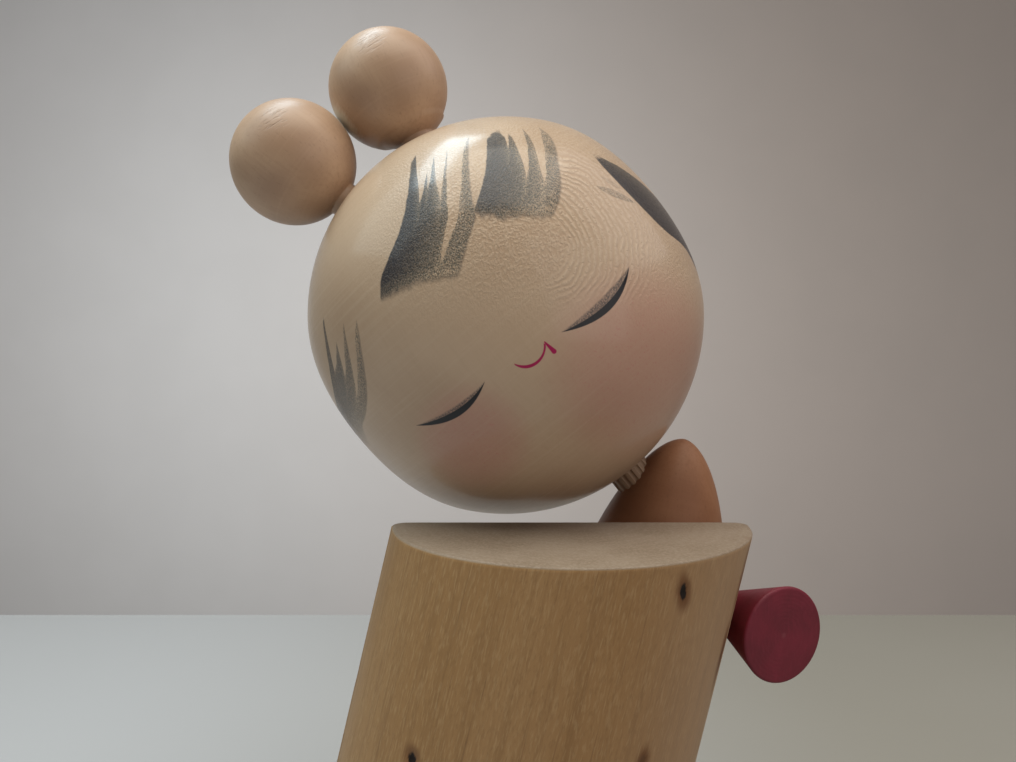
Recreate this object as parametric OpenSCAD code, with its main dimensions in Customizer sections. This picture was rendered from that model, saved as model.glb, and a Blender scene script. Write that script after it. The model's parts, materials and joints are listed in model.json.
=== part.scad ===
// Wooden doll that stands behind a leaning split log and hugs it.
// Every piece is turned or sawn wood. The head turns on a fluted dowel.
// +X is the viewer's right, -Y is towards the viewer, +Z is up.
// The origin lies on the ground at the log's axis, a little in front of its split face.

/* [Stance] */
// Lean of the log and of the body to the right, degrees from upright
lean = 13.3; // [0:0.1:16]
// Distance from the origin back to the log's split face
split_y = 6; // [4:0.5:8]
// Sideways distance from the log's axis to the body's axis
body_shift = 20.2; // [18:0.1:21]

/* [Log] */
// Radius of the log before it was split
log_r = 29.9; // [29:0.1:32]
// Height of the log's sawn top above the ground
log_h = 105; // [100:1:106]

/* [Body] */
// Radius of the straight part of the body
body_r = 16; // [15.5:0.1:17]
// Height of the body's rounded tip
body_tip_z = 117.6; // [117:0.1:118]
// Length of the rounded nose, measured along the body's axis
nose_len = 50; // [45:1:70]
// How pointed the nose is, where 1 is a plain ellipse
nose_point = 1.15; // [1:0.05:1.3]

/* [Head] */
// Radius of the head
head_r = 36.8; // [36:0.1:37]
// How much narrower the head is round its middle, as a share of its radius
belt_drop = 0.035; // [0:0.005:0.05]
// Angle above and below the middle over which the head is narrower
belt_angle = 38; // [20:1:50]
// Sideways place of the head's centre
head_x = 13.6; // [13.2:0.1:13.8]
// Height of the head's centre
head_z = 140.7; // [140.5:0.1:141.5]
// Tilt of the head and its neck to the left, degrees from upright
head_tilt = 39; // [36:0.5:40]

/* [Neck] */
// Radius of the fluted neck dowel
neck_r = 4; // [3.5:0.1:4.5]
// Number of flutes round the dowel
flute_count = 16; // [8:1:18]
// Radius of the cutter that makes one flute
flute_r = 0.5; // [0.3:0.1:0.7]
// Gap between the head and the body along the neck
neck_gap = 1.5; // [1:0.1:2]
// Depth of the dowel in the body
neck_in_body = 12; // [8:1:13]
// Depth of the dowel in the head
neck_in_head = 18; // [12:1:22]
// Radial running clearance between the dowel and the head
neck_play = 0.05; // [0.02:0.01:0.1]

/* [Hair buns] */
// Radius of the left bun
bun_left_r = 11.5; // [10.5:0.1:11.6]
// Radius of the right bun
bun_right_r = 11.2; // [10.5:0.1:11.3]
// Distance from the head's centre to a bun's centre
bun_reach = 49; // [48.9:0.1:51]
// Tilt of the left bun from the upright through the head's centre
bun_left_tilt = 53.8; // [53.5:0.1:56]
// Tilt of the right bun from the upright through the head's centre
bun_right_tilt = 27.2; // [26:0.1:27.5]
// How far each bun sits off the head's mid-plane, left to the front and right to the back, degrees
bun_swing = 2.5; // [0:0.1:5]
// Radius of the turned collar under a bun
collar_r = 3.5; // [3:0.1:4]
// How far the right bun's collar and peg sit off its middle, to the right
collar_shift = 1.3; // [0:0.1:1.5]
// Depth of the flat seat that the collar stands in
seat_depth = 0.5; // [0.4:0.1:1]

/* [Sleeve] */
// Radius of the sleeve at its open-looking end
cuff_r = 8.3; // [7:0.1:8.6]
// Radius of the sleeve at the shoulder
shoulder_r = 3.3; // [2.5:0.1:4]
// Length of the sleeve's cone
cone_len = 15.5; // [12:0.5:16]
// Length of the plain stub behind the cone
stub_len = 3; // [2.5:0.5:4]
// Sideways place of the cuff's centre
cuff_x = 61; // [60.6:0.1:61.4]
// Place of the cuff's centre from front to back
cuff_y = 2; // [1.5:0.1:3]
// Height of the cuff's centre
cuff_z = 86.4; // [84:0.1:90]
// Turn of the cuff to the right, degrees from facing the viewer
cuff_turn = 24; // [22:0.5:26]

/* [Hidden pegs] */
// Radius of the two dowels that join the log to the body
join_r = 2.5; // [2:0.5:3]
// Length of a join dowel, half of it in each piece
join_len = 24; // [16:1:26]
// Height of the upper join dowel
join_upper_z = 75; // [65:1:80]
// Height of the lower join dowel
join_lower_z = 30; // [20:1:40]
// Radius of the pegs in the buns and the sleeve
peg_r = 1.5; // [1:0.1:2]
// Length of a bun peg, half of it on each side of the seat
bun_peg_len = 16; // [10:1:18]
// Depth of the sleeve's peg in the sleeve
sleeve_peg_in = 10; // [6:1:13]
// Depth of the sleeve's peg in the body
sleeve_peg_out = 6; // [4:1:7]
// Glue gap round every fixed peg
glue_gap = 0.05; // [0.03:0.01:0.1]

/* [Hidden] */
$fn = 96;
// Spare length by which a cutting solid passes the solid it cuts
spare = 20;
body_y = split_y + body_r;
body_axis_len = body_tip_z / cos(lean);
seat_z = head_r - seat_depth;
neck_bottom = -(head_r + neck_gap + neck_in_body);
neck_top = -(head_r - neck_in_head);
sleeve_len = cone_len + stub_len;
pale_wood = "BurlyWood";
warm_wood = "Peru";
magenta = "MediumVioletRed";

// Sideways place of the body's axis at a given height
function body_axis_x(z) = body_shift + z * tan(lean);

// Radius of the head at an angle above or below its middle
function head_radius(a) =
    abs(a) < belt_angle ? head_r * (1 - belt_drop * pow(cos(a * 90 / belt_angle), 2)) : head_r;

// Places children in a frame at the head's centre whose +Z is the neck's axis
module head_frame() {
    translate([head_x, body_y, head_z])
        rotate([0, -head_tilt, 0])
            children();
}

// Places children in a frame at the head's centre whose +Z points at a bun
module bun_frame(tilt, swing) {
    translate([head_x, body_y, head_z])
        rotate([0, -tilt, 0])
            rotate([swing, 0, 0])
                children();
}

// Places children in a frame at the cuff's centre whose +Z runs back into the body
module sleeve_frame() {
    translate([cuff_x, cuff_y, cuff_z])
        rotate([0, 0, cuff_turn])
            rotate([-90, 0, 0])
                children();
}

// Keeps what lies between the ground and a ceiling
module above_ground(ceiling) {
    side = 4 * ceiling;
    intersection() {
        children();
        translate([-side / 2, -side / 2, 0])
            cube([side, side, ceiling]);
    }
}

// One dowel between the log and the body, or the hole for it
module join_dowel_shape(z, r) {
    translate([body_axis_x(z), split_y - join_len / 2, z])
        rotate([-90, 0, 0])
            cylinder(r = r, h = join_len);
}

// One bun's peg, or the hole for it, in the bun's own frame
module bun_peg_shape(r, shift) {
    translate([shift, 0, seat_z - bun_peg_len / 2])
        cylinder(r = r, h = bun_peg_len);
}

// The sleeve's cone and stub, or with a gap the socket for them, in the sleeve's own frame
module sleeve_shape(gap) {
    cylinder(r1 = cuff_r + gap, r2 = shoulder_r + gap, h = cone_len);
    translate([0, 0, cone_len])
        cylinder(r = shoulder_r + gap, h = stub_len + gap);
}

// The sleeve's peg, or the hole for it, in the sleeve's own frame
module sleeve_peg_shape(r) {
    translate([0, 0, sleeve_len - sleeve_peg_in])
        cylinder(r = r, h = sleeve_peg_in + sleeve_peg_out);
}

// Front half of a sawn log, flat at the back
module log_half() {
    color(warm_wood)
        difference() {
            above_ground(log_h)
                intersection() {
                    translate([0, split_y, 0])
                        rotate([0, lean, 0])
                            translate([0, 0, -spare])
                                cylinder(r = log_r, h = log_h + 3 * spare);
                    translate([-3 * log_r, split_y - 3 * log_r, 0])
                        cube([6 * log_r, 3 * log_r, 2 * log_h]);
                }
            join_dowel_shape(join_upper_z, join_r + glue_gap);
            join_dowel_shape(join_lower_z, join_r + glue_gap);
        }
}

// Outline of the body: a straight side and a slightly pointed nose
module body_outline() {
    nose_z = body_axis_len - nose_len;
    flank = [for (a = [0 : 3 : 87]) [body_r * pow(cos(a), nose_point), nose_z + nose_len * sin(a)]];
    polygon(concat([[0, -spare], [body_r, -spare]], flank, [[0, body_axis_len]]));
}

// Turned body that stands on the ground behind the log
module body() {
    color(warm_wood)
        difference() {
            above_ground(body_tip_z + spare)
                translate([body_shift, body_y, 0])
                    rotate([0, lean, 0])
                        rotate_extrude()
                            body_outline();
            join_dowel_shape(join_upper_z, join_r + glue_gap);
            join_dowel_shape(join_lower_z, join_r + glue_gap);
            head_frame()
                translate([0, 0, neck_bottom])
                    cylinder(r = neck_r + glue_gap, h = neck_in_body + neck_gap + spare);
            sleeve_frame() {
                sleeve_shape(glue_gap);
                sleeve_peg_shape(peg_r + glue_gap);
            }
        }
}

module join_dowel_upper() {
    color(pale_wood)
        join_dowel_shape(join_upper_z, join_r);
}

module join_dowel_lower() {
    color(pale_wood)
        join_dowel_shape(join_lower_z, join_r);
}

// Fluted dowel, glued in the body, on which the head turns
module neck_dowel() {
    color(pale_wood)
        head_frame()
            translate([0, 0, neck_bottom])
                linear_extrude(neck_top - neck_bottom)
                    difference() {
                        circle(r = neck_r);
                        for (i = [0 : flute_count - 1])
                            rotate(i * 360 / flute_count)
                                translate([neck_r + flute_r / 3, 0])
                                    circle(r = flute_r, $fn = 24);
                    }
}

// Outline of the head: round, and a little narrower at its middle
module head_outline() {
    polygon([for (a = [-90 : 3 : 90]) head_radius(a) * [cos(a), sin(a)]]);
}

// Seat and peg hole for one bun
module bun_socket(tilt, swing, shift) {
    bun_frame(tilt, swing) {
        translate([shift, 0, seat_z])
            cylinder(r = collar_r + glue_gap, h = spare);
        bun_peg_shape(peg_r + glue_gap, shift);
    }
}

// Turned head with the neck's blind bore and the buns' seats
module head() {
    color(pale_wood)
        difference() {
            head_frame()
                rotate_extrude($fn = 128)
                    head_outline();
            head_frame()
                translate([0, 0, -head_r - spare])
                    cylinder(r = neck_r + neck_play, h = spare + neck_in_head + 2 * neck_play);
            bun_socket(bun_left_tilt, bun_swing, 0);
            bun_socket(bun_right_tilt, -bun_swing, collar_shift);
        }
}

// One turned ball with a short collar, drilled for its peg
module bun_shape(tilt, swing, r, shift) {
    bun_frame(tilt, swing)
        difference() {
            union() {
                translate([0, 0, bun_reach])
                    sphere(r = r);
                translate([shift, 0, seat_z])
                    cylinder(r = collar_r, h = bun_reach - seat_z);
            }
            bun_peg_shape(peg_r + glue_gap, shift);
        }
}

module bun_left() {
    color(warm_wood)
        bun_shape(bun_left_tilt, bun_swing, bun_left_r, 0);
}

module bun_right() {
    color(warm_wood)
        bun_shape(bun_right_tilt, -bun_swing, bun_right_r, collar_shift);
}

module bun_peg_left() {
    color(pale_wood)
        bun_frame(bun_left_tilt, bun_swing)
            bun_peg_shape(peg_r, 0);
}

module bun_peg_right() {
    color(pale_wood)
        bun_frame(bun_right_tilt, -bun_swing)
            bun_peg_shape(peg_r, collar_shift);
}

// Painted sleeve: a cone that widens forward from the body's right flank
module sleeve() {
    color(magenta)
        sleeve_frame()
            difference() {
                sleeve_shape(0);
                sleeve_peg_shape(peg_r + glue_gap);
            }
}

module sleeve_peg() {
    color(pale_wood)
        sleeve_frame()
            sleeve_peg_shape(peg_r);
}

log_half();
body();
join_dowel_upper();
join_dowel_lower();
neck_dowel();
head();
bun_left();
bun_right();
bun_peg_left();
bun_peg_right();
sleeve();
sleeve_peg();
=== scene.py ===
"""Looks of a wooden doll that stands behind a split log: meshes, paint, wood, light and camera."""
import json
import math
from collections import namedtuple

import bmesh
import bpy
from mathutils import Matrix, Vector, noise


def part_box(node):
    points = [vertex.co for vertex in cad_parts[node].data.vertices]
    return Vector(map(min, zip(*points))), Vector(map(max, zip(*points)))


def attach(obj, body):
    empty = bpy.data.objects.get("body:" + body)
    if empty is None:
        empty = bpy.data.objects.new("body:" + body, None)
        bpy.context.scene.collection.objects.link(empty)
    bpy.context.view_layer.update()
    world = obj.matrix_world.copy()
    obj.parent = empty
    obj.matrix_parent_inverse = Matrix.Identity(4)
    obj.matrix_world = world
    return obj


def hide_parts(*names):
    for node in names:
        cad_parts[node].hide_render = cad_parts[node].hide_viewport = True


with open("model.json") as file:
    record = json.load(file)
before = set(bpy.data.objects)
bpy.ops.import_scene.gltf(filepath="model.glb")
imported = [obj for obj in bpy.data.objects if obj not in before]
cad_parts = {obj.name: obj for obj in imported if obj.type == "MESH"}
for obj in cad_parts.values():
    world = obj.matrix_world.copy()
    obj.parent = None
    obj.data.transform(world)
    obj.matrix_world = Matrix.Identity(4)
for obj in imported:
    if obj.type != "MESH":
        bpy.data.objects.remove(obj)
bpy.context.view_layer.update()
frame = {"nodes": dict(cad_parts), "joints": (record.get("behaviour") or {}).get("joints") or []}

# Sizes and places in metres, read from the frame where it gives them
JOINT = frame["joints"][0]
HEAD_CENTRE = Vector(JOINT["pos_m"])
NECK_AXIS = Vector(JOINT["axis"]).normalized()
HEAD_TILT = math.acos(NECK_AXIS.z)
HEAD_LOW, HEAD_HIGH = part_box("head")
HEAD_R = (HEAD_HIGH.z - HEAD_LOW.z) / 2
LOG_LOW, LOG_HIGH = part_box("log_half")
BODY_LOW, BODY_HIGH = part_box("body")
LEAN = math.radians(13.3)  # how far the log and the body lean to the right
LOG_H = LOG_HIGH.z
SPLIT_Y = LOG_HIGH.y
LOG_R = SPLIT_Y - LOG_LOW.y
BODY_R = (BODY_HIGH.y - BODY_LOW.y) / 2
BODY_Y = (BODY_HIGH.y + BODY_LOW.y) / 2
BODY_FOOT_X = BODY_LOW.x + BODY_R / math.cos(LEAN)
BODY_TIP_Z = 0.1176
CUFF_CENTRE = Vector((0.0610, 0.002, 0.0864))
SLEEVE_TURN = math.radians(24.0)  # how far the sleeve's axis turns from straight back
BUN_LEFT_R = 0.0115
BUN_RIGHT_R = 0.0112

# Turns from a piece's own frame, in which it is turned or sawn, to the upright one
HEAD_OWN = Matrix.Rotation(-HEAD_TILT, 4, "Y")
LEAN_OWN = Matrix.Rotation(LEAN, 4, "Y")
SLEEVE_OWN = Matrix.Rotation(SLEEVE_TURN, 4, "Z") @ Matrix.Rotation(math.radians(-90), 4, "X")


# ---------------------------------------------------------------- node helpers

class Value:
    """A number or a vector inside a material, with arithmetic that adds Math nodes."""

    def __init__(self, tree, socket):
        self.tree = tree
        self.socket = socket

    def math(self, operation, *others):
        node = self.tree.nodes.new("ShaderNodeMath")
        node.operation = operation
        self.tree.links.new(self.socket, node.inputs[0])
        for slot, other in zip(node.inputs[1:], others):
            plug(self.tree, other, slot)
        return Value(self.tree, node.outputs[0])

    def __add__(self, other):
        return self.math("ADD", other)

    def __sub__(self, other):
        return self.math("SUBTRACT", other)

    def __mul__(self, other):
        return self.math("MULTIPLY", other)

    def __truediv__(self, other):
        return self.math("DIVIDE", other)

    def __neg__(self):
        return self.math("MULTIPLY", -1.0)

    def least(self, other):
        return self.math("MINIMUM", other)

    def most(self, other):
        return self.math("MAXIMUM", other)

    def ramp(self, low, high):
        """0 below low and 1 above high, with a smooth step between. Low may be above high."""
        node = self.tree.nodes.new("ShaderNodeMapRange")
        node.interpolation_type = "SMOOTHSTEP"
        self.tree.links.new(self.socket, node.inputs["Value"])
        node.inputs["From Min"].default_value = low
        node.inputs["From Max"].default_value = high
        return Value(self.tree, node.outputs["Result"])

    def along(self, points, handle="AUTO"):
        """The value of a curve drawn through given (input, output) points."""
        node = self.tree.nodes.new("ShaderNodeFloatCurve")
        mapping = node.mapping
        mapping.use_clip = False
        mapping.extend = "HORIZONTAL"
        curve = mapping.curves[0]
        while len(curve.points) < len(points):
            curve.points.new(0.0, 0.0)
        for point, place in zip(curve.points, points):
            point.location = place
        for point in curve.points:
            point.handle_type = handle
        mapping.update()
        self.tree.links.new(self.socket, node.inputs["Value"])
        return Value(self.tree, node.outputs["Value"])


def plug(tree, source, slot):
    """Links a Value, or sets a plain number or colour, on a node's input."""
    if isinstance(source, Value):
        tree.links.new(source.socket, slot)
    else:
        slot.default_value = source


class Paint:
    """One material under construction.

    own is the matrix that turns the piece's own frame, in which it was shaped, to the upright one.
    """

    def __init__(self, name, own=Matrix.Identity(4), **constants):
        self.own = own
        self.material = bpy.data.materials.new(name)
        self.material.use_nodes = True
        self.tree = self.material.node_tree
        self.shader = self.tree.nodes["Principled BSDF"]
        for key, constant in constants.items():
            self.shader.inputs[key.replace("_", " ")].default_value = constant
        self.normal = None

    def place(self, scale=1.0, upright=False):
        """The point on the piece times a scale, as a vector in the piece's own frame or upright."""
        source = self.tree.nodes.new("ShaderNodeTexCoord")
        mapping = self.tree.nodes.new("ShaderNodeMapping")
        mapping.inputs["Scale"].default_value = (scale, scale, scale)
        self.tree.links.new(source.outputs["Object"], mapping.inputs["Vector"])
        if upright:
            return Value(self.tree, mapping.outputs["Vector"])
        turn = self.tree.nodes.new("ShaderNodeVectorRotate")
        turn.rotation_type = "EULER_XYZ"
        turn.inputs["Rotation"].default_value = self.own.to_3x3().inverted().to_euler("XYZ")
        self.tree.links.new(mapping.outputs["Vector"], turn.inputs["Vector"])
        return Value(self.tree, turn.outputs["Vector"])

    def split(self, vector):
        """The x, y and z of a vector."""
        node = self.tree.nodes.new("ShaderNodeSeparateXYZ")
        self.tree.links.new(vector.socket, node.inputs[0])
        return [Value(self.tree, out) for out in node.outputs]

    def join(self, x, y, z):
        """A vector made from three values."""
        node = self.tree.nodes.new("ShaderNodeCombineXYZ")
        for source, slot in zip((x, y, z), node.inputs):
            plug(self.tree, source, slot)
        return Value(self.tree, node.outputs[0])

    def noise(self, vector, scale, detail=3.0, rough=0.55, distort=0.0):
        """Noise between 0 and 1 at a point."""
        node = self.tree.nodes.new("ShaderNodeTexNoise")
        self.tree.links.new(vector.socket, node.inputs["Vector"])
        node.inputs["Scale"].default_value = scale
        node.inputs["Detail"].default_value = detail
        node.inputs["Roughness"].default_value = rough
        node.inputs["Distortion"].default_value = distort
        return Value(self.tree, node.outputs["Fac"])

    def mix(self, amount, first, second):
        """First where amount is 0 and second where it is 1, as colours."""
        node = self.tree.nodes.new("ShaderNodeMix")
        node.data_type = "RGBA"
        # The node has sockets of the same name for numbers and vectors, so its colour ones go by number
        factor, colour_a, colour_b, colour_out = 0, 6, 7, 2
        plug(self.tree, amount, node.inputs[factor])
        plug(self.tree, first, node.inputs[colour_a])
        plug(self.tree, second, node.inputs[colour_b])
        return Value(self.tree, node.outputs[colour_out])

    def colour(self, source):
        plug(self.tree, source, self.shader.inputs["Base Color"])

    def roughness(self, source):
        plug(self.tree, source, self.shader.inputs["Roughness"])

    def bump(self, height, depth, strength):
        """Raises the surface by height times depth metres, on top of earlier bumps."""
        node = self.tree.nodes.new("ShaderNodeBump")
        node.inputs["Strength"].default_value = strength
        node.inputs["Distance"].default_value = depth
        self.tree.links.new(height.socket, node.inputs["Height"])
        if self.normal is not None:
            self.tree.links.new(self.normal, node.inputs["Normal"])
        self.normal = node.outputs["Normal"]
        self.tree.links.new(self.normal, self.shader.inputs["Normal"])


def rgb(red, green, blue):
    return (red, green, blue, 1.0)


def distance(paint, vector):
    """The length of a vector inside a material."""
    node = paint.tree.nodes.new("ShaderNodeVectorMath")
    node.operation = "LENGTH"
    paint.tree.links.new(vector.socket, node.inputs[0])
    return Value(paint.tree, node.outputs["Value"])


# ---------------------------------------------------------------- paint on the head

INK = rgb(0.005, 0.005, 0.008)
INK_BLUE = rgb(0.018, 0.021, 0.032)
INK_GREEN = rgb(0.085, 0.092, 0.074)
INK_GREY = rgb(0.062, 0.054, 0.052)
MAGENTA = rgb(0.38, 0.006, 0.085)

# Places on the face are fractions of the head's radius: x to the right and z up from its centre.
# SOFT and FINE are how far a brush stroke and a thin line fade on each side of their edge.
SOFT = 0.012
FINE = 0.002

# Thin brush flicks by the right temple: start, end, width and how much paint they hold
FLICKS = [
    ((0.385, 0.560), (0.583, 0.498), 0.036, 0.75),
    ((0.412, 0.614), (0.522, 0.556), 0.024, 0.35),
    ((0.379, 0.727), (0.436, 0.716), 0.010, 0.50),
    ((0.375, 0.689), (0.428, 0.671), 0.008, 0.40),
]


def brush_patch(across, up, left, right, comb, foot, rag, lean=0.0, foot_depth=0.03):
    """One dry-brush stroke: (how much paint, how dry the brush was there), both from 0 to 1.

    left, right and foot are outlines and comb is the row of bristle tips, all as curve points. Above
    the knee the bristle marks lean to the right. The brush is driest on its right and at its tips.
    """
    knee = 0.45
    low = up.along(left)
    high = up.along(right)
    share = (across + rag * 0.010 - low) / (high - low)
    top = (share - (up - knee).most(0.0) * lean).along(comb, "VECTOR")
    bottom = share.along(foot)
    above_foot = up - bottom + rag * 0.05
    below_tip = top - up + rag * 0.05
    inside = share.ramp(-SOFT, SOFT) * share.ramp(1.02, 0.97)
    inside = inside * below_tip.ramp(-SOFT, SOFT) * above_foot.ramp(-SOFT, foot_depth)
    dry = share.ramp(0.02, 0.95) * 0.75
    dry = (dry + below_tip.ramp(0.16, 0.0) * 0.30 + above_foot.ramp(0.09, 0.0) * 0.42).least(1.0)
    return inside, dry


def flick_stroke(x, z, start, end, width):
    """A thin brush flick that is widest in the middle and pointed at both ends."""
    run = (end[0] - start[0], end[1] - start[1])
    length = math.hypot(*run)
    ux, uz = run[0] / length, run[1] / length
    share = ((x - start[0]) * ux + (z - start[1]) * uz) / length
    off = (z - start[1]) * ux - (x - start[0]) * uz
    bow = share * (-share + 1.0) * 4.0
    bow = bow.most(0.0)
    return (bow * (width / 2) - off.math("ABSOLUTE")).ramp(-0.001, 0.006)


def eye_stroke(x, z, middle, angle, half, drop, thickness, shade):
    """A closed eyelid: (black crescent, grey stroke above it).

    The crescent hangs by drop under a chord whose half-length is half, and the grey starts at shade
    under that chord.
    """
    cos, sin = math.cos(angle), math.sin(angle)
    along = ((x - middle[0]) * cos + (z - middle[1]) * sin) / half
    above = (z - middle[1]) * cos - (x - middle[0]) * sin
    bow = -(along * along) + 1.0
    skew = along * 0.10 + 1.0
    lower = bow * skew * -drop
    upper = lower + bow * thickness
    grey_top = bow * -shade
    ends = bow.ramp(0.0, 0.03)
    black = (above - lower).ramp(-FINE, FINE) * (upper - above).ramp(-FINE, FINE) * ends
    grey = (above - upper).ramp(-2 * FINE, FINE) * (grey_top - above).ramp(-2 * FINE, 4 * FINE) * ends
    return black, grey


def mouth_stroke(x, z):
    """A hooked smile, which is the lower part of a ring, and the short dab beside it."""
    middle, ring_r = (0.078, -0.135), 0.083
    dx = x - middle[0]
    dz = z - middle[1]
    radius = (dx * dx + dz * dz).math("SQRT")
    width = x.along([(0.036, 0.002), (0.075, 0.0065), (0.12, 0.0065), (0.162, 0.004)])
    ring = (width - (radius - ring_r).math("ABSOLUTE")).ramp(-FINE, FINE)
    smile = ring * x.ramp(0.034, 0.040) * z.ramp(-0.120, -0.126)
    start, end = (0.160, -0.117), (0.199, -0.155)
    run = (end[0] - start[0], end[1] - start[1])
    length = run[0] ** 2 + run[1] ** 2
    share = ((x - start[0]) * run[0] + (z - start[1]) * run[1]) / length
    share = share.most(0.0).least(1.0)
    fx = x - start[0] - share * run[0]
    fz = z - start[1] - share * run[1]
    gap = (fx * fx + fz * fz).math("SQRT")
    dab = (share * 0.0075 + 0.003 - gap).ramp(-FINE, FINE)
    return smile.most(dab)


def head_wood_colour(paint, x, y, z, lathe, front):
    """Bare head: (colour, fibre, turning rings, rippled figure). The ripple shows on the forehead."""
    spot = paint.join(x, y, z)
    lathe_x, lathe_y, lathe_z = paint.split(lathe)
    broad = paint.noise(lathe, 1.3, detail=2.0)
    fibre = paint.noise(paint.join(lathe_x * 60.0, lathe_y * 60.0, lathe_z * 5.0), 1.0, detail=4.0)
    rings = paint.noise(paint.join(lathe_z * 90.0, lathe_x * 1.5, lathe_y * 1.5), 1.0, detail=3.0)
    dimple = paint.noise(paint.join(x * 105.0, y * 105.0, z * 75.0), 1.0, detail=1.0, distort=0.25)
    ripple_middle, ripple_waves, ripple_warp = (0.12, 0.26), 260.0, 24.0
    arc_x = x - ripple_middle[0]
    arc_z = z - ripple_middle[1]
    arc = (arc_x * arc_x + arc_z * arc_z).math("SQRT")
    warp = paint.noise(spot, 5.0, detail=3.0)
    ripple = ((arc * ripple_waves) + warp * ripple_warp).math("SINE") * 0.5 + 0.5
    arc_zone = arc.ramp(0.10, 0.18) * arc.ramp(0.60, 0.42)
    arc_zone = arc_zone * x.ramp(0.12, 0.24) * z.ramp(-0.02, 0.12) * front
    figure_zone = z.ramp(-0.16, 0.32) * x.ramp(-0.75, -0.25) * front
    dimples = dimple.ramp(0.36, 0.68) * (arc_zone * -0.6 + 0.6)
    figure = (dimples + ripple * dimple.ramp(0.22, 0.56) * arc_zone) * figure_zone

    wood = paint.mix(broad.ramp(0.35, 0.68), rgb(0.545, 0.400, 0.278), rgb(0.470, 0.330, 0.222))
    wood = paint.mix(fibre.ramp(0.40, 0.80) * 0.12, wood, rgb(0.360, 0.235, 0.150))
    wood = paint.mix(figure * 0.52, wood, rgb(0.68, 0.54, 0.40))
    wood = paint.mix(rings.ramp(0.45, 0.75) * 0.22, wood, rgb(0.62, 0.49, 0.36))
    return wood, fibre, rings, figure


def blush_on(paint, wood, x, y, z, front):
    """Two soft patches of blush with a few stronger flecks in them."""
    spot = paint.join(x, y, z)
    grain = paint.noise(spot, 110.0, detail=2.0)
    fleck = paint.noise(spot, 85.0, detail=1.0)
    # Squared distances from the middles of the two cheeks
    big = (x - 0.60) * (x - 0.60) + (z + 0.22) * (z + 0.22)
    small = (x + 0.14) * (x + 0.14) + (z + 0.54) * (z + 0.54)
    amount = (big.ramp(0.26, 0.0) * 0.42).most(small.ramp(0.085, 0.0) * 0.42) * front
    amount = amount * (grain * 0.5 + 0.72) + fleck.ramp(0.60, 0.74) * amount * 0.6
    return paint.mix(amount, wood, rgb(0.50, 0.200, 0.175))


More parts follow.
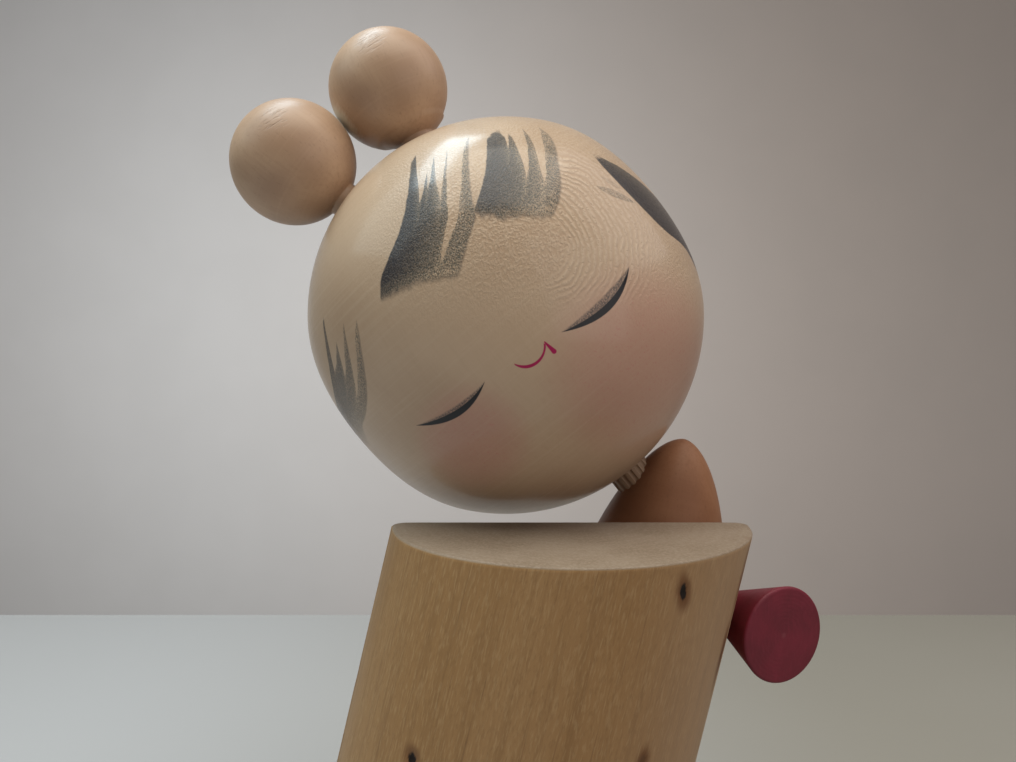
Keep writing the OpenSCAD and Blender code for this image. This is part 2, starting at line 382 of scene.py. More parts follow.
def hair_strokes(paint, x, y, z, front):
    """All the hair: (how much paint, how dry).

    It is two fringe strokes over the forehead, one stroke down each side of the head and thin flicks.
    The side strokes are laid out by their turn round the head, in radians, instead of by x.
    """
    rag = paint.noise(paint.join(x * 34.0, y * 34.0, z * 20.0), 1.0, detail=3.0) - 0.5
    turn = x.math("ARCTAN2", -y)
    fringe_left, dry = brush_patch(
        x, z,
        [(0.06, -0.521), (0.146, -0.521), (0.237, -0.487), (0.33, -0.449), (0.44, -0.424), (0.71, -0.418)],
        [(0.138, -0.192), (0.228, -0.168), (0.319, -0.144), (0.40, -0.122), (0.48, -0.138), (0.80, -0.165)],
        [(-0.06, 0.66), (0.02, 0.71), (0.08, 0.62), (0.15, 0.54), (0.215, 0.455), (0.262, 0.61),
         (0.31, 0.52), (0.36, 0.69), (0.43, 0.56), (0.525, 0.475), (0.578, 0.73), (0.612, 0.52),
         (0.635, 0.36), (0.69, 0.245), (0.735, 0.20), (0.765, 0.40), (0.835, 0.52), (0.865, 0.70),
         (0.92, 0.79), (1.0, 0.80), (1.06, 0.70)],
        [(0.0, 0.055), (0.35, 0.097), (0.65, 0.126), (1.0, 0.140)],
        rag, lean=0.2,
    )
    hair = fringe_left * front
    dryness = hair * dry
    fringe_right, dry = brush_patch(
        x, z,
        [(0.41, -0.134), (0.45, -0.121), (0.52, -0.101), (0.61, -0.084), (0.71, -0.081), (0.80, -0.082)],
        [(0.395, 0.193), (0.47, 0.224), (0.53, 0.235), (0.64, 0.230), (0.78, 0.207), (0.85, 0.165)],
        [(-0.05, 0.76), (0.03, 0.79), (0.12, 0.815), (0.20, 0.815), (0.27, 0.78), (0.305, 0.715),
         (0.335, 0.80), (0.38, 0.78), (0.45, 0.70), (0.50, 0.645), (0.55, 0.565), (0.575, 0.62),
         (0.585, 0.78), (0.61, 0.835), (0.65, 0.79), (0.69, 0.72), (0.74, 0.60), (0.785, 0.548),
         (0.815, 0.60), (0.83, 0.75), (0.88, 0.82), (0.95, 0.85), (1.03, 0.80)],
        [(0.0, 0.402), (0.3, 0.386), (0.7, 0.390), (1.0, 0.395)],
        rag,
    )
    hair = hair.most(fringe_right * front)
    dryness = dryness.most(fringe_right * front * dry)
    side_left, dry = brush_patch(
        turn, z,
        [(-0.70, -1.75), (-0.50, -1.45), (-0.406, -1.18), (-0.305, -1.06), (-0.188, -1.0), (-0.05, -0.98)],
        [(-0.70, -1.27), (-0.608, -1.02), (-0.533, -0.97), (-0.435, -0.82), (-0.357, -0.75),
         (-0.273, -0.715), (-0.034, -0.70)],
        [(-0.05, -0.05), (0.04, -0.01), (0.10, -0.12), (0.18, -0.26), (0.26, -0.24), (0.38, -0.12),
         (0.44, -0.20), (0.50, -0.295), (0.58, -0.16), (0.655, -0.035), (0.70, -0.20), (0.755, -0.38),
         (0.82, -0.28), (0.90, -0.10), (0.98, -0.03), (1.05, -0.08)],
        [(0.0, -0.72), (0.4, -0.70), (0.8, -0.66), (1.0, -0.60)],
        rag, foot_depth=0.20,
    )
    side_left = side_left * y.ramp(0.55, 0.35)
    hair = hair.most(side_left * 0.88)
    dryness = dryness.most(side_left * dry.most(0.34))
    side_right, dry = brush_patch(
        turn, z,
        [(-0.10, 1.95), (0.10, 1.62), (0.243, 1.27), (0.318, 1.17), (0.392, 0.95), (0.495, 0.81),
         (0.607, 0.70), (0.72, 0.62)],
        [(-0.10, 2.35), (0.234, 1.95), (0.46, 1.55), (0.60, 1.17), (0.652, 1.00), (0.69, 0.86),
         (0.712, 0.75), (0.74, 0.68)],
        [(-0.05, 0.67), (0.10, 0.705), (0.35, 0.715), (0.60, 0.72), (0.80, 0.72), (1.05, 0.71)],
        [(0.0, -0.05), (0.5, 0.02), (1.0, 0.05)],
        rag, foot_depth=0.25,
    )
    side_right = side_right * y.ramp(0.75, 0.55)
    hair = hair.most(side_right)
    dryness = dryness.most(side_right * dry * 0.35)
    for start, end, width, strength in FLICKS:
        flick = flick_stroke(x, z, start, end, width) * front
        hair = hair.most(flick * strength)
        dryness = dryness.most(flick * 0.95)
    return hair, dryness


def head_material():
    """Pale lacquered wood with rippled figure, brushed hair, closed eyes, a mouth and blush."""
    paint = Paint("head_wood", HEAD_OWN, Coat_Weight=0.48, Coat_Roughness=0.17, Specular_IOR_Level=0.2)
    x, y, z = paint.split(paint.place(1.0 / HEAD_R, upright=True))
    lathe = paint.place(1.0 / HEAD_R)
    front = y.ramp(0.02, -0.06)
    wood, fibre, rings, figure = head_wood_colour(paint, x, y, z, lathe, front)
    wood = blush_on(paint, wood, x, y, z, front)

    # A dry brush leaves fine bare specks in the paint. Where the ink is dense, the steady part of the
    # specks also stands in for glints of light on the paint: painted highlight.
    hair, dryness = hair_strokes(paint, x, y, z, front)
    speck = paint.noise(paint.join(x * 175.0, y * 175.0, z * 125.0), 1.0, detail=2.0, rough=0.6)
    speck = speck.ramp(0.34, 0.66)
    thin = dryness * (dryness * 0.5 + 0.5)
    # The 0.10 share of specks is painted highlight on dense ink; the share that grows with thin is bare
    # wood left by the dry brush
    cover = -(speck * (thin * 0.82 + 0.10)) - thin * 0.14 + 1.0
    tint = paint.mix(dryness, INK_BLUE, INK_GREEN)
    wood = paint.mix(hair * cover * 0.97, wood, tint)

    right_black, right_grey = eye_stroke(
        x, z, middle=(0.376, 0.0625), angle=math.radians(43.3),
        half=0.204, drop=0.074, thickness=0.030, shade=0.012,
    )
    left_black, left_grey = eye_stroke(
        x, z, middle=(-0.236, -0.379), angle=math.radians(33.4),
        half=0.182, drop=0.064, thickness=0.029, shade=0.018,
    )
    grey = right_grey.most(left_grey) * (-speck * 0.52 + 0.90) * front
    wood = paint.mix(grey, wood, INK_GREY)
    wood = paint.mix(right_black.most(left_black) * front, wood, INK)
    wood = paint.mix(mouth_stroke(x, z) * front, wood, MAGENTA)

    paint.colour(wood)
    paint.roughness(fibre * 0.10 + 0.36)
    paint.bump(rings, 0.00006, 0.4)
    paint.bump(figure, 0.00014, 0.7)
    paint.bump(fibre, 0.00003, 0.3)
    paint.bump(speck * hair, 0.00010, 0.7)
    return paint.material


# ---------------------------------------------------------------- other materials

def turned_material(name, own, dark, light, gloss, glue=None, nicks=None):
    """Satin turned wood: grain along z, fine turning rings round it, small scratches.

    glue and nicks are upright offsets from the piece's own origin. Dried glue is smeared round the
    first and short parallel scratches lie round the second.
    """
    paint = Paint(name, own, Coat_Weight=gloss, Coat_Roughness=0.34, Specular_IOR_Level=0.2 + gloss / 2)
    deep = rgb(*(0.55 * part for part in dark[:3]))
    spot = paint.place()
    x, y, z = paint.split(spot)
    broad = paint.noise(spot, 55.0, detail=2.0)
    fibre = paint.noise(paint.join(x * 1500.0, y * 1500.0, z * 90.0), 1.0, detail=4.0)
    rings = paint.noise(paint.join(x * 30.0, y * 30.0, z * 2000.0), 1.0, detail=2.0)
    fleck = paint.noise(paint.join(x * 2600.0, y * 2600.0, z * 700.0), 1.0, detail=1.0)
    slant = paint.join(x * 500.0 + z * 350.0, y * 500.0, z * 4200.0 - x * 3000.0)
    scratch = paint.noise(slant, 1.0, detail=1.0)
    wood = paint.mix(broad.ramp(0.32, 0.70), light, dark)
    wood = paint.mix(fibre.ramp(0.42, 0.80) * 0.45, wood, dark)
    wood = paint.mix(rings.ramp(0.50, 0.80) * 0.16, wood, light)
    wood = paint.mix(fleck.ramp(0.62, 0.78) * 0.25, wood, deep)
    wood = paint.mix(scratch.ramp(0.66, 0.80) * 0.22, wood, light)
    if glue is not None:
        east, north, up = paint.split(paint.place(upright=True))
        gap = distance(paint, paint.join(east - glue.x, north - glue.y, up - glue.z))
        smear = (gap + (scratch - 0.5) * 0.0035).ramp(0.0052, 0.0026)
        wood = paint.mix(smear * 0.75, wood, rgb(0.66, 0.59, 0.48))
        near = distance(paint, paint.join(east - nicks.x, north - nicks.y, up - nicks.z))
        near = near.ramp(0.0036, 0.0016)
        along = east * 0.8 + up * 0.6
        across = up * 0.8 - east * 0.6
        nick = paint.noise(paint.join(along * 380.0, north * 380.0, across * 3400.0), 1.0, detail=1.0)
        nick = nick.ramp(0.56, 0.66) * near
        wood = paint.mix(nick * 0.40, wood, dark)
        paint.bump(-nick, 0.00012, 0.8)
    paint.colour(wood)
    paint.roughness(fibre * 0.18 + 0.38)
    paint.bump(rings, 0.00005, 0.4)
    paint.bump(fibre, 0.00004, 0.4)
    return paint.material


Knot = namedtuple("Knot", "height turn size squat skew pit halo dark")

# The knots on the log, each at a height and a turn in degrees from straight ahead to the right. squat
# and skew shape its mark, pit is the depth of its crater, and halo and dark say how strong its brown
# halo and its dark core are.
KNOTS = [
    Knot(height=0.1005, turn=30.5, size=0.0013, squat=0.80, skew=-0.20, pit=0.0003, halo=0.90, dark=1.0),
    Knot(height=0.0753, turn=-35.9, size=0.0014, squat=0.60, skew=-0.5, pit=0.0003, halo=0.70, dark=1.0),
    Knot(height=0.0753, turn=31.1, size=0.0011, squat=0.80, skew=0.0, pit=0.0002, halo=0.85, dark=0.25),
    Knot(height=0.0985, turn=66.5, size=0.0014, squat=0.40, skew=0.0, pit=0.0001, halo=0.75, dark=0.1),
    Knot(height=0.0865, turn=64.5, size=0.0014, squat=0.42, skew=0.0, pit=0.0002, halo=0.90, dark=0.2),
    Knot(height=0.0790, turn=-84.0, size=0.0010, squat=0.60, skew=0.0, pit=0.0002, halo=0.50, dark=0.4),
    Knot(height=0.0430, turn=12.0, size=0.0012, squat=0.65, skew=0.1, pit=0.0003, halo=0.70, dark=0.9),
    Knot(height=0.0260, turn=-48.0, size=0.0010, squat=0.70, skew=0.0, pit=0.0003, halo=0.70, dark=0.9),
    Knot(height=0.0210, turn=55.0, size=0.0009, squat=0.65, skew=-0.1, pit=0.0003, halo=0.65, dark=0.8),
]


def knot_centre(knot):
    """A knot's centre in the log's own leaning frame, whose origin is on its axis at the ground."""
    turn = math.radians(knot.turn)
    across = LOG_R * math.sin(turn)
    along = knot.height / math.cos(LEAN) + across * math.tan(LEAN)
    return Vector((across, SPLIT_Y - LOG_R * math.cos(turn), along))


KNOT_CENTRES = [knot_centre(knot) for knot in KNOTS]


def log_material():
    """Bare split log: streaky side grain, granular end grain, dark knots with brown halos, and painted
    light: a paler right side and a thin highlight along the top edge.
    """
    paint = Paint("log_wood", LEAN_OWN, Specular_IOR_Level=0.25)
    spot = paint.place()
    x, y, z = paint.split(spot)
    level = paint.split(paint.place(upright=True))[2]
    edge = 0.0004
    sawn = level.ramp(LOG_H - edge, LOG_H - 0.0001).most(level.ramp(edge, 0.0001))

    broad = paint.noise(paint.join(x * 70.0, y * 70.0, z * 9.0), 1.0, detail=2.0)
    streak = paint.noise(paint.join(x * 900.0, y * 900.0, z * 30.0), 1.0, detail=5.0, rough=0.65)
    fine = paint.noise(paint.join(x * 3300.0, y * 3300.0, z * 480.0), 1.0, detail=2.0)
    weave = paint.noise(paint.join(x * 2600.0, y * 2600.0, z * 800.0), 1.0, detail=2.0)
    pore = paint.noise(paint.join(x * 2300.0, y * 2300.0, z * 60.0), 1.0, detail=1.0)
    side = paint.mix(broad.ramp(0.30, 0.72), rgb(0.395, 0.234, 0.106), rgb(0.345, 0.194, 0.080))
    side = paint.mix(streak.ramp(0.42, 0.72) * 0.52, side, rgb(0.240, 0.132, 0.055))
    side = paint.mix(fine.ramp(0.48, 0.70) * 0.42, side, rgb(0.49, 0.330, 0.170))
    side = paint.mix(weave.ramp(0.50, 0.68) * 0.30, side, rgb(0.245, 0.138, 0.060))
    side = paint.mix(pore.ramp(0.66, 0.78) * 0.35, side, rgb(0.15, 0.082, 0.040))
    # Painted light: the side is made paler towards the right, standing in for the sheen and fill light on
    # that side of the log
    side = paint.mix(x.ramp(0.006, 0.026) * 0.36, side, rgb(0.47, 0.345, 0.245))
    # Painted highlight: a thin paler band along the top edge of the side stands in for light catching the
    # rounded edge
    rim = level.ramp(LOG_H - edge, LOG_H - 0.0002) * 0.6
    side = paint.mix(rim, side, rgb(0.56, 0.38, 0.21))

    radius = (x * x + (y - SPLIT_Y) * (y - SPLIT_Y)).math("SQRT")
    wobble = paint.noise(spot, 60.0, detail=2.0)
    ring_waves, ring_wobble = 3400.0, 5.0
    rings = ((radius * ring_waves) + wobble * ring_wobble).math("SINE") * 0.5 + 0.5
    grit = paint.noise(spot, 2300.0, detail=2.0)
    patch = paint.noise(spot, 110.0, detail=3.0)
    end = paint.mix(patch.ramp(0.35, 0.70), rgb(0.290, 0.225, 0.166), rgb(0.240, 0.180, 0.127))
    end = paint.mix(grit.ramp(0.40, 0.66) * 0.50, end, rgb(0.375, 0.305, 0.240))
    end = paint.mix(rings * 0.10, end, rgb(0.175, 0.117, 0.072))
    wood = paint.mix(sawn, side, end)

    narrow = 1.5
    for knot, centre in zip(KNOTS, KNOT_CENTRES):
        skew = (z - centre.z) * knot.skew
        gap = distance(paint, paint.join(
            ((x - centre.x) - skew) * narrow, ((y - centre.y) - skew) * narrow, (z - centre.z) * knot.squat,
        ))
        gap = gap + (fine - 0.5) * 0.0005 + (weave - 0.5) * 0.0007
        halo = gap.ramp(knot.size * 2.5, knot.size * 0.8) * knot.halo
        core = gap.ramp(knot.size * 0.95, knot.size * 0.60) * knot.dark
        wood = paint.mix(halo, wood, rgb(0.165, 0.070, 0.027))
        wood = paint.mix(core, wood, rgb(0.012, 0.007, 0.005))
    paint.colour(wood)
    paint.roughness(fine * 0.15 + 0.46)
    paint.bump(streak, 0.00010, 0.4)
    paint.bump(weave, 0.00008, 0.4)
    paint.bump(grit * sawn, 0.00012, 0.6)
    return paint.material


def sleeve_material():
    """Matt magenta paint over turned wood, with faint turning marks and a pale point at its middle."""
    paint = Paint("sleeve_paint", SLEEVE_OWN, Specular_IOR_Level=0.5)
    spot = paint.place()
    x, y, z = paint.split(spot)
    radius = (x * x + y * y).math("SQRT")
    tone = paint.noise(spot, 160.0, detail=3.0)
    grain = paint.noise(paint.join(x * 1400.0, y * 250.0, z * 250.0), 1.0, detail=3.0)
    mark_waves, mark_wobble = 9000.0, 3.0
    marks = ((radius * mark_waves) + tone * mark_wobble).math("SINE") * 0.5 + 0.5
    red = paint.mix(tone.ramp(0.30, 0.72), rgb(0.190, 0.0090, 0.0280), rgb(0.138, 0.0062, 0.0200))
    red = paint.mix(grain.ramp(0.50, 0.78) * 0.35, red, rgb(0.25, 0.022, 0.047))
    centre = radius.ramp(0.0007, 0.0002) * 0.35
    red = paint.mix(centre, red, rgb(0.26, 0.06, 0.08))
    paint.colour(red)
    paint.roughness(grain * 0.14 + 0.50)
    paint.bump(marks, 0.00003, 0.3)
    paint.bump(grain, 0.00005, 0.4)
    return paint.material


def stage_material(name, left, right, reach):
    """Plain pale card with a very faint mottle, and painted light: cool on the left, warm on the right."""
    paint = Paint(name, Roughness=0.85, Specular_IOR_Level=0.2)
    spot = paint.place(upright=True)
    # Painted light: the colour shifts from left to right to stand in for a cool window on the left and
    # dimmer, warmer light on the right
    across = paint.split(spot)[0].ramp(-reach, reach)
    card = paint.mix(across, left, right)
    mottle = paint.noise(spot, 9.0, detail=2.0).ramp(0.3, 0.7) * 0.05
    paint.colour(paint.mix(mottle, card, rgb(0.45, 0.44, 0.42)))
    return paint.material


# ---------------------------------------------------------------- mesh helpers

def add_object(name, mesh, material, place, own, body, node):
    """Turns a finished mesh upright and puts it in place as a piece that stands for a CAD node."""
    mesh.transform(own)
    for polygon in mesh.polygons:
        polygon.use_smooth = True
    mesh.materials.append(material)
    piece = bpy.data.objects.new(name, mesh)
    bpy.context.scene.collection.objects.link(piece)
    piece.location = place
    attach(piece, body)
    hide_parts(node)


def revolve(name, outline, steps, shape=None):
    """A closed mesh turned round z from (radius, height) points that start and end on the axis.

    shape, if it is given, moves each point that is off the axis.
    """
    mesh = bmesh.new()
    rows = []
    for radius, height in outline:
        if radius == 0.0:
            rows.append([mesh.verts.new((0.0, 0.0, height))])
            continue
        row = []
        for step in range(steps):
            angle = math.tau * step / steps
            point = Vector((radius * math.cos(angle), radius * math.sin(angle), height))
            row.append(mesh.verts.new(shape(point) if shape else point))
        rows.append(row)
    for low, high in zip(rows, rows[1:]):
        for step in range(steps):
            after = (step + 1) % steps
            ring = [
                low[step % len(low)], low[after % len(low)],
                high[after % len(high)], high[step % len(high)],
            ]
            corners = list(dict.fromkeys(ring))
            if len(corners) > 2:
                mesh.faces.new(corners)
    bmesh.ops.recalc_face_normals(mesh, faces=mesh.faces)
    data = bpy.data.meshes.new(name)
    mesh.to_mesh(data)
    mesh.free()
    return data


def arc_points(centre, radius, start, end, steps):
    """Points on a round stretch of an outline, angles in degrees."""
    angles = [math.radians(start + (end - start) * i / steps) for i in range(steps + 1)]
    return [(centre[0] + radius * math.cos(a), centre[1] + radius * math.sin(a)) for a in angles]


def turn_to(axis):
    """The turn that takes +Z to an axis, for a piece whose own frame has +Z along it."""
    return Vector((0, 0, 1)).rotation_difference(axis.normalized()).to_matrix().to_4x4()


# ---------------------------------------------------------------- pieces

def head_radius(lift):
    """Radius of the head at an angle in degrees above or below its middle: a little narrower there."""
    belt_angle, belt_drop = 38.0, 0.035
    if abs(lift) >= belt_angle:
        return HEAD_R
    return HEAD_R * (1 - belt_drop * math.cos(math.radians(lift * 90 / belt_angle)) ** 2)


def build_head():
    """The turned head, opened at the neck by the dowel's bore."""
    bore_r, bore_deep, lip = 0.00405, 0.0181, 0.0004
    rows, columns = 150, 240
    neck_lift = math.degrees(math.asin((bore_r + lip) / HEAD_R)) - 90
    rim = -HEAD_R * math.cos(math.radians(neck_lift + 90))
    outline = [(0.0, rim + bore_deep), (bore_r, rim + bore_deep), (bore_r, rim + lip)]
    for row in range(rows):
        lift = neck_lift + (90 - neck_lift) * row / rows
        radius = head_radius(lift)
        outline.append((radius * math.cos(math.radians(lift)), radius * math.sin(math.radians(lift))))
    outline.append((0.0, HEAD_R))
    mesh = revolve("head_turned", outline, columns)
    add_object("head_turned", mesh, head_material(), HEAD_CENTRE, HEAD_OWN, "head", "head")


def bun_centre(node, ball_r):
    """The middle of a bun's ball, which reaches furthest to the left and highest of the whole bun."""
    low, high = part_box(node)
    return Vector((low.x + ball_r, (low.y + high.y) / 2, high.z - ball_r))


def build_bun(node, ball_r, touching, nicks, collar_shift=0.0):
    """One turned ball with a short collar, scratches, and a smear of glue where the other bun touches it.

    touching is the other ball's middle, and nicks is where the scratches lie from this ball's middle.
    """
    ball = bun_centre(node, ball_r)
    own = turn_to(ball - HEAD_CENTRE)
    sunk, collar_r, collar_edge, fillet = 0.0005, 0.0033, 0.0002, 0.0003
    fade_start, fade_span = 0.5, 0.3
    fillet_rows, ball_rows, columns = 4, 64, 96
    seat = HEAD_R - sunk - (ball - HEAD_CENTRE).length
    turn_in = -math.degrees(math.acos((collar_r + fillet) / (ball_r + fillet)))
    height = (ball_r + fillet) * math.sin(math.radians(turn_in))
    outline = [(0.0, seat), (collar_r - collar_edge, seat), (collar_r, seat + collar_edge)]
    outline += arc_points((collar_r + fillet, height), fillet, 180, 180 + turn_in, fillet_rows)
    outline += arc_points((0.0, 0.0), ball_r, turn_in, 90, ball_rows)[1:-1]
    outline.append((0.0, ball_r))

    def shift_collar(point):
        """Slides the collar off the ball's middle and lets the ball's surface follow it round."""
        fade = min(1.0, max(0.0, (-point.z / ball_r - fade_start) / fade_span))
        moved = Vector((point.x + collar_shift * fade, point.y, point.z))
        on_ball = point.length > ball_r * 0.9999 and fade < 1
        return moved * (ball_r / moved.length) if on_ball else moved

    mesh = revolve(node + "_turned", outline, columns, shift_collar)
    glue = (touching - ball).normalized() * ball_r
    wood = turned_material(
        node + "_wood", own, dark=rgb(0.395, 0.250, 0.160), light=rgb(0.580, 0.398, 0.265),
        gloss=0.28, glue=glue, nicks=nicks,
    )
    add_object(node + "_turned", mesh, wood, ball, own, "head", node)


def build_body():
    """The turned body: a leaning cylinder with a slightly pointed nose, sawn level at the foot."""
    length = BODY_TIP_Z / math.cos(LEAN)
    nose, nose_point = 0.050, 1.15
    edge_in, edge_up, foot_reach = 0.0008, 0.0006, 0.012
    side_rows, nose_rows, columns = 24, 72, 128
    outline = [(0.0, 0.0), (BODY_R * 0.5, 0.0), (BODY_R - edge_in, 0.0), (BODY_R, edge_up)]
    outline += [(BODY_R, (length - nose) * row / side_rows) for row in range(1, side_rows)]
    for row in range(nose_rows):
        angle = math.radians(90 * row / nose_rows)
        radius = BODY_R * math.cos(angle) ** nose_point
        outline.append((radius, length - nose + nose * math.sin(angle)))
    outline.append((0.0, length))
    slope = math.tan(LEAN)

    def level_foot(point):
        """Slides the lowest rows along the lean so that the foot lies level on the ground."""
        share = max(0.0, 1 - point.z / foot_reach)
        return Vector((point.x, point.y, point.z + share * point.x * slope))

    mesh = revolve("body_turned", outline, columns, level_foot)
    wood = turned_material(
        "body_wood", LEAN_OWN, dark=rgb(0.230, 0.100, 0.050), light=rgb(0.330, 0.160, 0.085), gloss=0.0,
    )
    add_object("body_turned", mesh, wood, (BODY_FOOT_X, BODY_Y, 0.0), LEAN_OWN, "stand", "body")


def log_outline():
    """The log's level outline from above, as (across, depth, turn or None on the flat back) points."""
    corner = 0.0022
    side_steps, corner_steps, back_steps = 240, 8, 24
    reach = math.sqrt((LOG_R - corner) ** 2 - corner ** 2)
    last = math.atan2(reach, corner)
    side = []
    for step in range(side_steps + 1):
        turn = last * (2 * step / side_steps - 1)
        side.append((LOG_R * math.sin(turn), SPLIT_Y - LOG_R * math.cos(turn), turn))
    right_corner = []
    for step in range(1, corner_steps + 1):
        turn = last + (math.pi - last) * step / corner_steps
        across = reach + corner * math.sin(turn)
        right_corner.append((across, SPLIT_Y - corner - corner * math.cos(turn), turn))
    back = [(reach * (1 - 2 * step / back_steps), SPLIT_Y, None) for step in range(1, back_steps)]
    # The left corner keeps the right one's turns, so its skin lies a hair outside its outline
    left_corner = [(-across, depth, turn) for across, depth, turn in reversed(right_corner)]
    return side + right_corner + back + left_corner


def log_skin(across, depth, along):
    """How far the log's skin lies inside its outline: a slow waver, fibres and a crater at each knot."""
    middle, waver, fibres, crater_reach = 0.00012, 0.00010, 0.00003, 3.0
    inset = middle + waver * noise.noise(Vector((across * 70, depth * 70, along * 18)))
    inset += fibres * noise.noise(Vector((across * 700, depth * 700, along * 14)))
    here = Vector((across, depth, along))
    for knot, centre in zip(KNOTS, KNOT_CENTRES):
        gap = (here - centre).length / knot.size
        if gap < crater_reach:
            hollow = math.exp(-(gap ** 2) * 2.5)
            rim = 0.2 * math.exp(-((gap - 1.1) ** 2) * 2.0)
            inset += knot.pit * (hollow - rim)
    return inset


def build_log():
    """The front half of a log: a wavering round side, a flat split back and two level sawn ends."""
    rows, bevel, back_waver = 240, 0.0003, 0.00006
    slope = math.tan(LEAN)
    outline = log_outline()
    mesh = bmesh.new()
    grid = []
    for row in range(rows + 1):
        height = bevel + (LOG_H - 2 * bevel) * row / rows
        line = []
        for across, depth, turn in outline:
            along = height / math.cos(LEAN) + across * slope
            if turn is None:
                depth -= back_waver * (1 + noise.noise(Vector((across * 300, height * 900, 5.0))))
            else:
                inset = log_skin(across, depth, along)
                across -= inset * math.sin(turn)
                depth += inset * math.cos(turn)
            line.append(mesh.verts.new((across, depth, height / math.cos(LEAN) + across * slope)))
        grid.append(line)
    count = len(outline)
    for low, high in zip(grid, grid[1:]):
        for i in range(count):
            j = (i + 1) % count
            mesh.faces.new((low[i], low[j], high[j], high[i]))
    cap_end(mesh, grid[-1], LOG_H / math.cos(LEAN), slope)
    cap_end(mesh, grid[0], 0.0, slope)
    bmesh.ops.recalc_face_normals(mesh, faces=mesh.faces)
    data = bpy.data.meshes.new("log_split")
    mesh.to_mesh(data)
    mesh.free()
    add_object("log_split", data, log_material(), (0.0, 0.0, 0.0), LEAN_OWN, "stand", "log_half")


def cap_end(mesh, ring, along, slope):
    """Closes one sawn end with rings that shrink to the middle of the half disc.

    The first ring makes a small bevel.
    """
    middle = Vector((0.0, SPLIT_Y - LOG_R * 0.42, 0.0))
    shares = (0.990, 0.97, 0.90, 0.75, 0.55, 0.30)
    last = ring
    for share in shares:
        inner = []
        for vert in ring:
            across = middle.x + (vert.co.x - middle.x) * share
            depth = middle.y + (vert.co.y - middle.y) * share
            inner.append(mesh.verts.new((across, depth, along + across * slope)))
        for i in range(len(ring)):
            j = (i + 1) % len(ring)
            mesh.faces.new((last[i], last[j], inner[j], inner[i]))
        last = inner
    mesh.faces.new(last)


def build_sleeve():
    """The cone-shaped sleeve with a softened edge. Its cuff is flat, with the lathe's tiny centre mark."""
    cuff_r, shoulder_r, cone, stub = 0.0083, 0.0033, 0.0155, 0.003
    edge, edge_rows, cone_rows, columns = 0.00045, 8, 20, 96
    slope = math.degrees(math.atan2(cuff_r - shoulder_r, cone))
    outline = [(0.0, 0.00000), (0.0003, 0.00003), (0.0006, 0.00002), (cuff_r * 0.5, 0.00001)]
    outline += arc_points((cuff_r - edge, edge), edge, -90, slope * 0.5, edge_rows)
    tip = outline[-1]
    for row in range(1, cone_rows + 1):
        share = row / cone_rows
        outline.append((tip[0] + (shoulder_r - tip[0]) * share, tip[1] + (cone - tip[1]) * share))
    outline += [(shoulder_r, cone + stub * 0.5), (shoulder_r, cone + stub), (0.0, cone + stub)]
    mesh = revolve("sleeve_turned", outline, columns)
    paint = sleeve_material()
    add_object("sleeve_turned", mesh, paint, CUFF_CENTRE, SLEEVE_OWN, "stand", "sleeve")


# ---------------------------------------------------------------- stage, light, camera

def build_camera():
    """A close, slightly downward camera with the photograph's wide lens."""
    sensor_mm, lens_mm, tilt_down = 36.0, 30.1, 2.9
    right, back, below = 0.0004, 0.1623, 0.0037
    data = bpy.data.cameras.new("camera")
    data.sensor_width = sensor_mm
    data.lens = lens_mm
    data.clip_start = 0.005
    camera = bpy.data.objects.new("camera", data)
    camera.location = (HEAD_CENTRE.x + right, HEAD_CENTRE.y - back, HEAD_CENTRE.z - below)
    camera.rotation_euler = (math.radians(90 - tilt_down), 0.0, 0.0)
    bpy.context.scene.collection.objects.link(camera)
    bpy.context.scene.camera = camera


def build_stage():
    """A pale table that ends behind the doll, and a pale wall well behind it."""
    side, edge_y, wall_y = 1.6, HEAD_CENTRE.y + 0.252, HEAD_CENTRE.y + 1.25
    thick, wall_low, wall_high = 0.02, -1.0, 1.6
    mesh = bmesh.new()
    front = [mesh.verts.new((x, -side, 0.0)) for x in (-side, side)]
    edge = [mesh.verts.new((x, edge_y, 0.0)) for x in (-side, side)]
    under = [mesh.verts.new((x, edge_y, -thick)) for x in (-side, side)]
    mesh.faces.new((front[0], front[1], edge[1], edge[0]))
    mesh.faces.new((edge[0], edge[1], under[1], under[0]))
    low = [mesh.verts.new((x, wall_y, wall_low)) for x in (-2 * side, 2 * side)]
    high = [mesh.verts.new((x, wall_y, wall_high)) for x in (-2 * side, 2 * side)]
    mesh.faces.new((low[0], low[1], high[1], high[0]))
    data = bpy.data.meshes.new("stage")
    mesh.to_mesh(data)
    mesh.free()
    # Painted light: each card runs from its left colour to its right one, for cool window light on the left
    # and dimmer warm light on the right
    table = stage_material("stage_table", rgb(0.49, 0.495, 0.51), rgb(0.30, 0.280, 0.243), reach=0.16)
    wall = stage_material("stage_wall", rgb(0.82, 0.81, 0.80), rgb(0.85, 0.75, 0.685), reach=0.6)
    data.materials.append(table)
    data.materials.append(wall)
    wall_face = data.polygons[2]
    wall_face.material_index = 1
    stage = bpy.data.objects.new("stage", data)
    bpy.context.scene.collection.objects.link(stage)


def add_light(name, place, size, power, tint, target=(0.01, 0.02, 0.11)):
    """A soft panel, aimed at a target or the doll's middle, that the camera doesn't see directly."""
    data = bpy.data.lights.new(name, "AREA")
    data.shape = "RECTANGLE"
    data.size, data.size_y = size
    data.energy = power
    data.color = tint
    lamp = bpy.data.objects.new(name, data)
    lamp.location = place
    lamp.rotation_euler = (Vector(target) - Vector(place)).to_track_quat("-Z", "Y").to_euler()
    lamp.visible_camera = False
    bpy.context.scene.collection.objects.link(lamp)


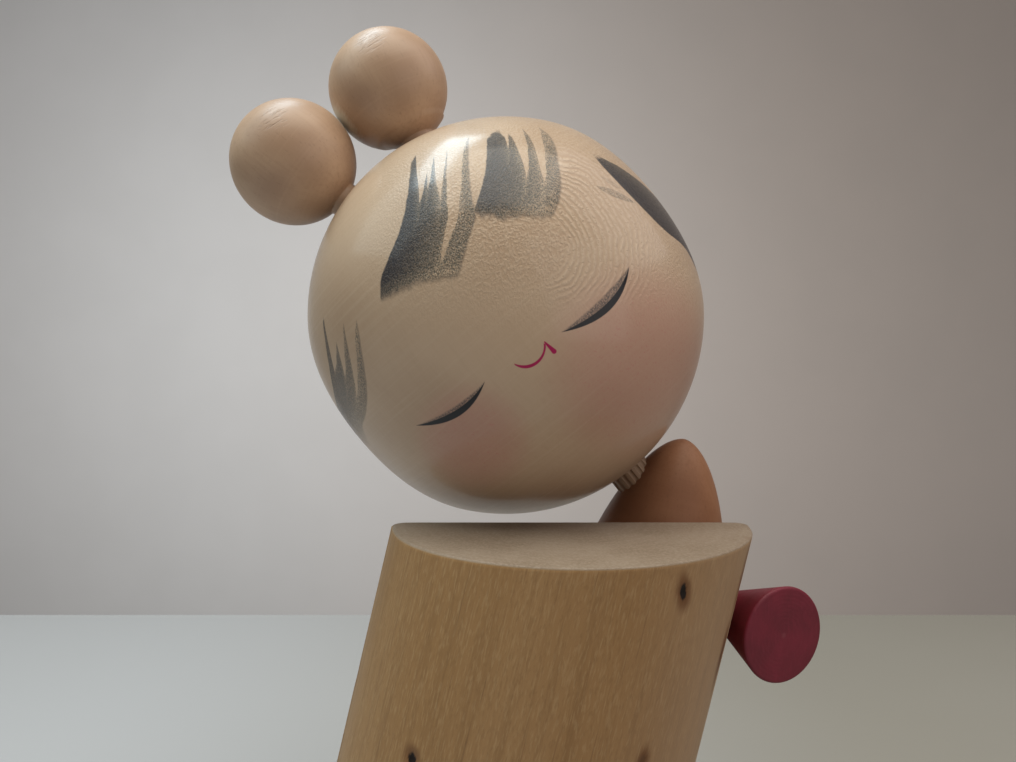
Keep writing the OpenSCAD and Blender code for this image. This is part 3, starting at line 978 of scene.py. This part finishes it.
def build_lights():
    """A soft ceiling, a warm room in front, a small panel for the head's highlight and a dim sky.

    The ceiling is cool on the left and warm on the right, and one lamp behind the doll lights the wall.
    """
    add_light("ceiling", (0.0, -0.10, 0.72), size=(0.60, 0.50), power=3.2, tint=(1.0, 0.96, 0.84))
    add_light("ceiling_left", (-0.45, -0.05, 0.60), size=(0.50, 0.50), power=1.2, tint=(0.84, 1.0, 1.0))
    add_light("ceiling_right", (0.45, 0.05, 0.60), size=(0.50, 0.50), power=0.9, tint=(1.0, 0.93, 0.95))
    add_light("room", (0.50, -0.50, 0.35), size=(0.60, 0.60), power=1.0, tint=(1.0, 0.93, 0.90))
    add_light("panel", (-0.135, 0.115, 0.515), size=(0.26, 0.09), power=0.70, tint=(0.72, 0.90, 1.0))
    add_light(
        "wall_wash", (-0.35, 0.45, 0.25), size=(0.60, 0.50), power=3.3, tint=(0.95, 0.98, 1.0),
        target=(-0.38, 1.27, 0.12),
    )
    world = bpy.data.worlds.new("sky")
    world.use_nodes = True
    sky = world.node_tree.nodes["Background"].inputs
    sky["Color"].default_value = rgb(0.85, 0.80, 0.78)
    sky["Strength"].default_value = 0.17
    bpy.context.scene.world = world


# ---------------------------------------------------------------- the scene

bpy.context.scene.view_settings.view_transform = "Standard"
build_camera()
build_stage()
build_lights()

dowel_wood = turned_material(
    "dowel_wood", HEAD_OWN, dark=rgb(0.260, 0.160, 0.100), light=rgb(0.360, 0.240, 0.155), gloss=0.0,
)

build_head()
left_bun = bun_centre("bun_left", BUN_LEFT_R)
right_bun = bun_centre("bun_right", BUN_RIGHT_R)
left_nicks = Vector((-0.0013, -0.0099, 0.0057))
right_nicks = Vector((-0.0022, -0.0090, 0.0062))
build_bun("bun_left", BUN_LEFT_R, touching=right_bun, nicks=left_nicks)
build_bun("bun_right", BUN_RIGHT_R, touching=left_bun, nicks=right_nicks, collar_shift=0.0006)
build_body()
build_log()
build_sleeve()

# The dowels and pegs are the CAD's own meshes and only get a wood
for node in (
    "neck_dowel", "join_dowel_upper", "join_dowel_lower",
    "bun_peg_left", "bun_peg_right", "sleeve_peg",
):
    dowel = frame["nodes"][node]
    dowel.data.materials.clear()
    dowel.data.materials.append(dowel_wood)
